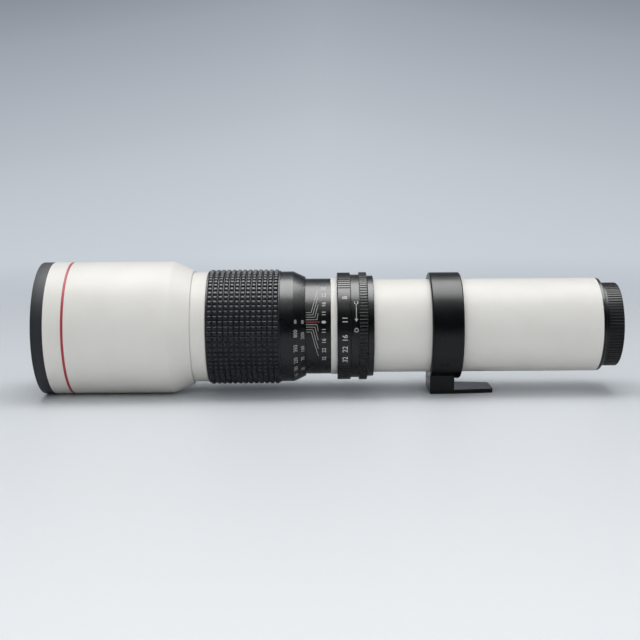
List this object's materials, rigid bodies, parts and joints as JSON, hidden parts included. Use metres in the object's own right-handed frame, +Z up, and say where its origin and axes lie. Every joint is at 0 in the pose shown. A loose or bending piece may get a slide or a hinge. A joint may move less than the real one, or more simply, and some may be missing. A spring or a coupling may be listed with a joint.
{
  "type": "super telephoto prime lens",
  "caption": "Long white telephoto prime lens with a black focusing grip, preset and aperture rings, a tripod collar with a foot, and a rear cap over a screw mount.",
  "frame": {"origin": "centre of the camera seat at the foot of the mount thread, on the optical axis", "axes": "+X along the optical axis towards the camera, the front lens faces -X, +Z up, the tripod foot points to -Z, the scales face -Y"},
  "size_m": [0.4517, 0.1091, 0.104],
  "materials": {
    "white_paint": "satin",
    "black_anodised": "satin",
    "black_gloss": "gloss",
    "inner_black": "matte",
    "grip_rubber": "matte",
    "lens_glass": "polished",
    "blade_steel": "matte",
    "screw_steel": "satin",
    "brass": "satin",
    "felt": "matte",
    "nylon": "matte",
    "cap_plastic": "satin"
  },
  "bodies": {
    "rear_body": {"focus_sleeve": "black_anodised", "focus_key": "brass", "white_band": "white_paint", "ring_carrier": "inner_black", "click_ball": "screw_steel", "click_spring": "screw_steel", "ring_retainer": "black_anodised", "iris_housing": "inner_black", "iris_guard_ring": "inner_black", "iris_retaining_ring": "inner_black", "rear_tube": "white_paint", "tube_baffle_1": "inner_black", "tube_baffle_2": "inner_black", "tube_baffle_3": "inner_black", "tube_end_ring": "inner_black", "rear_cell": "inner_black", "third_lens": "lens_glass", "fourth_lens": "lens_glass", "rear_lock_rings": "inner_black", "rear_cell_screws": "screw_steel", "mount_flange": "black_anodised", "flange_screws": "screw_steel"},
    "front_barrel": {"front_rim": "black_gloss", "front_barrel": "white_paint", "barrel_neck": "white_paint", "slide_tube": "inner_black", "slide_tube_screws": "screw_steel", "focus_ring_capture": "inner_black", "capture_screws": "screw_steel", "objective_cell": "inner_black", "front_lens": "lens_glass", "lens_spacer": "inner_black", "second_lens": "lens_glass", "front_ring": "black_anodised", "front_baffle_1": "inner_black", "front_baffle_2": "inner_black"},
    "focus_ring": {"focus_ring": "black_anodised", "grip_sleeve": "grip_rubber"},
    "preset_ring": {"preset_ring": "black_anodised"},
    "aperture_ring": {"aperture_ring": "black_anodised", "drive_screw": "screw_steel", "iris_cam_ring": "inner_black"},
    "tripod_collar": {"collar_ring": "black_anodised", "collar_liner": "felt", "tripod_foot": "black_anodised", "foot_screws": "screw_steel", "tripod_bush": "brass"},
    "lock_pad": {"lock_pad": "nylon"},
    "lock_knob": {"lock_knob": "black_anodised", "lock_screw": "screw_steel"},
    "rear_cap": {"rear_cap": "cap_plastic"},
    "iris_blade_1": {"iris_blade_1": "blade_steel"},
    "iris_blade_2": {"iris_blade_2": "blade_steel"},
    "iris_blade_3": {"iris_blade_3": "blade_steel"},
    "iris_blade_4": {"iris_blade_4": "blade_steel"},
    "iris_blade_5": {"iris_blade_5": "blade_steel"},
    "iris_blade_6": {"iris_blade_6": "blade_steel"},
    "iris_blade_7": {"iris_blade_7": "blade_steel"},
    "iris_blade_8": {"iris_blade_8": "blade_steel"}
  },
  "joints": [
    {"name": "focus_travel", "type": "slide", "parent": "rear_body", "child": "front_barrel", "axis": [-1, 0, 0], "range_m": [0, 0.02632]},
    {"name": "focus_ring_turn", "type": "hinge", "parent": "front_barrel", "child": "focus_ring", "pos_m": [-0.28, 0, 0], "axis": [1, 0, 0], "range_deg": [-300.5, 0.5]},
    {"name": "preset_ring_turn", "type": "hinge", "parent": "rear_body", "child": "preset_ring", "pos_m": [-0.2034, 0, 0], "axis": [1, 0, 0], "range_deg": [-43.2, 48.3]},
    {"name": "aperture_ring_turn", "type": "hinge", "parent": "rear_body", "child": "aperture_ring", "pos_m": [-0.1948, 0, 0], "axis": [1, 0, 0], "range_deg": [0, 91.5]},
    {"name": "collar_turn", "type": "hinge", "parent": "rear_body", "child": "tripod_collar", "pos_m": [-0.1241, 0, 0], "axis": [1, 0, 0], "continuous": true},
    {"name": "lock_pad_slide", "type": "slide", "parent": "tripod_collar", "child": "lock_pad", "axis": [0, 1, 0], "range_m": [0, 0.0012]},
    {"name": "lock_knob_turn", "type": "hinge", "parent": "lock_pad", "child": "lock_knob", "pos_m": [-0.1241, 0.05, 0], "axis": [0, 1, 0], "range_deg": [-0.5, 540.5]},
    {"name": "rear_cap_off", "type": "slide", "parent": "rear_body", "child": "rear_cap", "axis": [1, 0, 0], "range_m": [0, 0.06]},
    {"name": "blade_1_swing", "type": "hinge", "parent": "rear_body", "child": "iris_blade_1", "pos_m": [-0.2, 0.0322, 0], "axis": [1, 0, 0], "range_deg": [-0.2, 30.12]},
    {"name": "blade_2_swing", "type": "hinge", "parent": "rear_body", "child": "iris_blade_2", "pos_m": [-0.2, 0.02277, 0.02277], "axis": [1, 0, 0], "range_deg": [-0.2, 30.12]},
    {"name": "blade_3_swing", "type": "hinge", "parent": "rear_body", "child": "iris_blade_3", "pos_m": [-0.2, 0, 0.0322], "axis": [1, 0, 0], "range_deg": [-0.2, 30.12]},
    {"name": "blade_4_swing", "type": "hinge", "parent": "rear_body", "child": "iris_blade_4", "pos_m": [-0.2, -0.02277, 0.02277], "axis": [1, 0, 0], "range_deg": [-0.2, 30.12]},
    {"name": "blade_5_swing", "type": "hinge", "parent": "rear_body", "child": "iris_blade_5", "pos_m": [-0.2, -0.0322, 0], "axis": [1, 0, 0], "range_deg": [-0.2, 30.12]},
    {"name": "blade_6_swing", "type": "hinge", "parent": "rear_body", "child": "iris_blade_6", "pos_m": [-0.2, -0.02277, -0.02277], "axis": [1, 0, 0], "range_deg": [-0.2, 30.12]},
    {"name": "blade_7_swing", "type": "hinge", "parent": "rear_body", "child": "iris_blade_7", "pos_m": [-0.2, 0, -0.0322], "axis": [1, 0, 0], "range_deg": [-0.2, 30.12]},
    {"name": "blade_8_swing", "type": "hinge", "parent": "rear_body", "child": "iris_blade_8", "pos_m": [-0.2, 0.02277, -0.02277], "axis": [1, 0, 0], "range_deg": [-0.2, 30.12]}
  ],
  "couplings": [
    {"joint": "focus_ring_turn", "follows": "focus_travel", "rad_per_m": -198.94},
    {"joint": "lock_knob_turn", "follows": "lock_pad_slide", "rad_per_m": 7854},
    {"joint": "blade_1_swing", "follows": "aperture_ring_turn", "ratio": 0.327},
    {"joint": "blade_2_swing", "follows": "aperture_ring_turn", "ratio": 0.327},
    {"joint": "blade_3_swing", "follows": "aperture_ring_turn", "ratio": 0.327},
    {"joint": "blade_4_swing", "follows": "aperture_ring_turn", "ratio": 0.327},
    {"joint": "blade_5_swing", "follows": "aperture_ring_turn", "ratio": 0.327},
    {"joint": "blade_6_swing", "follows": "aperture_ring_turn", "ratio": 0.327},
    {"joint": "blade_7_swing", "follows": "aperture_ring_turn", "ratio": 0.327},
    {"joint": "blade_8_swing", "follows": "aperture_ring_turn", "ratio": 0.327}
  ]
}
